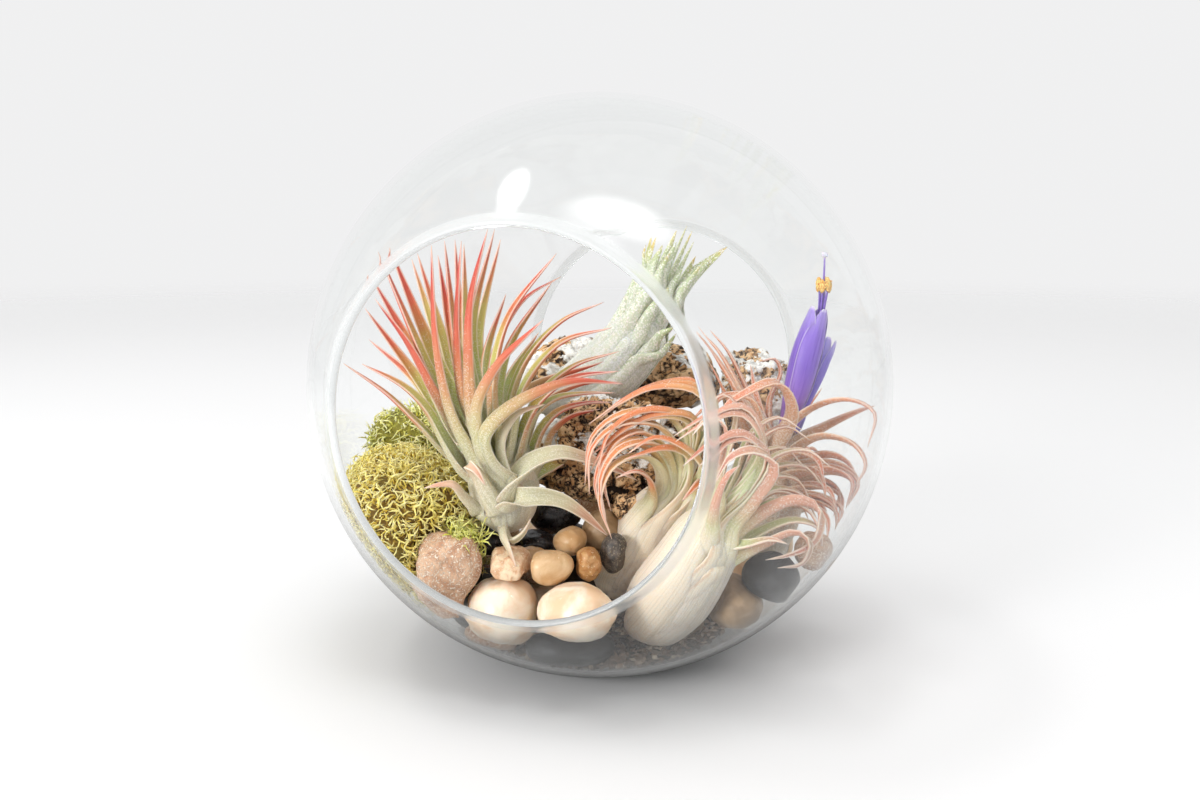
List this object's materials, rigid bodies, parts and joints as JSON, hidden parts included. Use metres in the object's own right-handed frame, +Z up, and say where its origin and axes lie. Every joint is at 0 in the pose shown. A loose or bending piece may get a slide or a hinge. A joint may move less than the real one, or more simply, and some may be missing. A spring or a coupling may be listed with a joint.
{
  "type": "glass plant terrarium",
  "caption": "Round clear glass terrarium with two open mouths, planted with air plants over pebbles, moss and cork bark.",
  "frame": {"origin": "middle of the flat foot, on the surface that it stands on", "axes": "+Z up, +Y from the front mouth to the back mouth, +X to the right as seen from the front mouth"},
  "size_m": [0.165, 0.136, 0.1611],
  "materials": {
    "glass": "clear blown glass, polished",
    "leaf_red": "living leaf, grey-green to coral tips, scurfy",
    "leaf_silver": "living leaf, silvery and scurfy",
    "leaf_pale": "living leaf, cream bulb with orange and pink leaves, scurfy",
    "leaf_rosy": "living leaf, dusty rose, scurfy",
    "petal": "living petal, violet, satin",
    "pollen": "pollen, matt",
    "stigma": "living stigma, matt",
    "cork": "virgin cork bark, rough",
    "stone_cream": "tumbled pebble, matt",
    "stone_tan": "tumbled pebble, matt",
    "stone_pink": "rough granite, matt",
    "stone_brown": "tumbled pebble, matt",
    "stone_grey": "tumbled pebble, satin",
    "stone_black": "tumbled pebble, satin",
    "moss": "dry moss, fibrous and matt"
  },
  "bodies": {
    "root": {"glass_globe": "glass", "plant_left": "leaf_red", "plant_back": "leaf_silver", "plant_small": "leaf_pale", "plant_large": "leaf_pale", "plant_right": "leaf_rosy", "flower_tall": "petal", "flower_short": "petal", "flower_bud": "petal", "flower_anthers": "pollen", "flower_stigma": "stigma", "cork_front": "cork", "cork_log": "cork", "cork_base": "cork", "cork_stump": "cork", "cork_chip": "cork", "stone_cream_large": "stone_cream", "stone_cream_pink": "stone_cream", "stone_pink_granite": "stone_pink", "stone_cream_pitted": "stone_cream", "stone_grey_low": "stone_grey", "stone_tan_pear": "stone_tan", "stone_tan_flat": "stone_tan", "stone_tan_round": "stone_tan", "stone_brown_quartz": "stone_tan", "stone_grey_tan": "stone_brown", "stone_speckled": "stone_grey", "stone_black_long": "stone_black", "stone_black_left": "stone_black", "stone_black_mid": "stone_black", "stone_granite_low": "stone_pink", "stone_grey_right": "stone_grey", "stone_brown_right": "stone_brown", "stone_pink_right": "stone_pink", "stone_bed_01": "stone_cream", "stone_bed_02": "stone_brown", "stone_bed_03": "stone_pink", "stone_bed_04": "stone_grey", "stone_bed_05": "stone_cream", "stone_bed_06": "stone_tan", "stone_bed_07": "stone_black", "stone_bed_08": "stone_pink", "stone_bed_09": "stone_tan", "stone_bed_10": "stone_cream", "stone_bed_11": "stone_brown", "stone_bed_12": "stone_pink", "stone_bed_13": "stone_grey", "stone_bed_14": "stone_cream", "stone_bed_15": "stone_tan", "stone_bed_16": "stone_black", "stone_bed_17": "stone_pink", "stone_bed_18": "stone_tan", "stone_bed_19": "stone_cream", "stone_bed_20": "stone_brown", "stone_bed_21": "stone_pink", "stone_bed_22": "stone_grey", "moss_lime": "moss", "moss_front": "moss", "moss_back": "moss"}
  },
  "joints": []
}
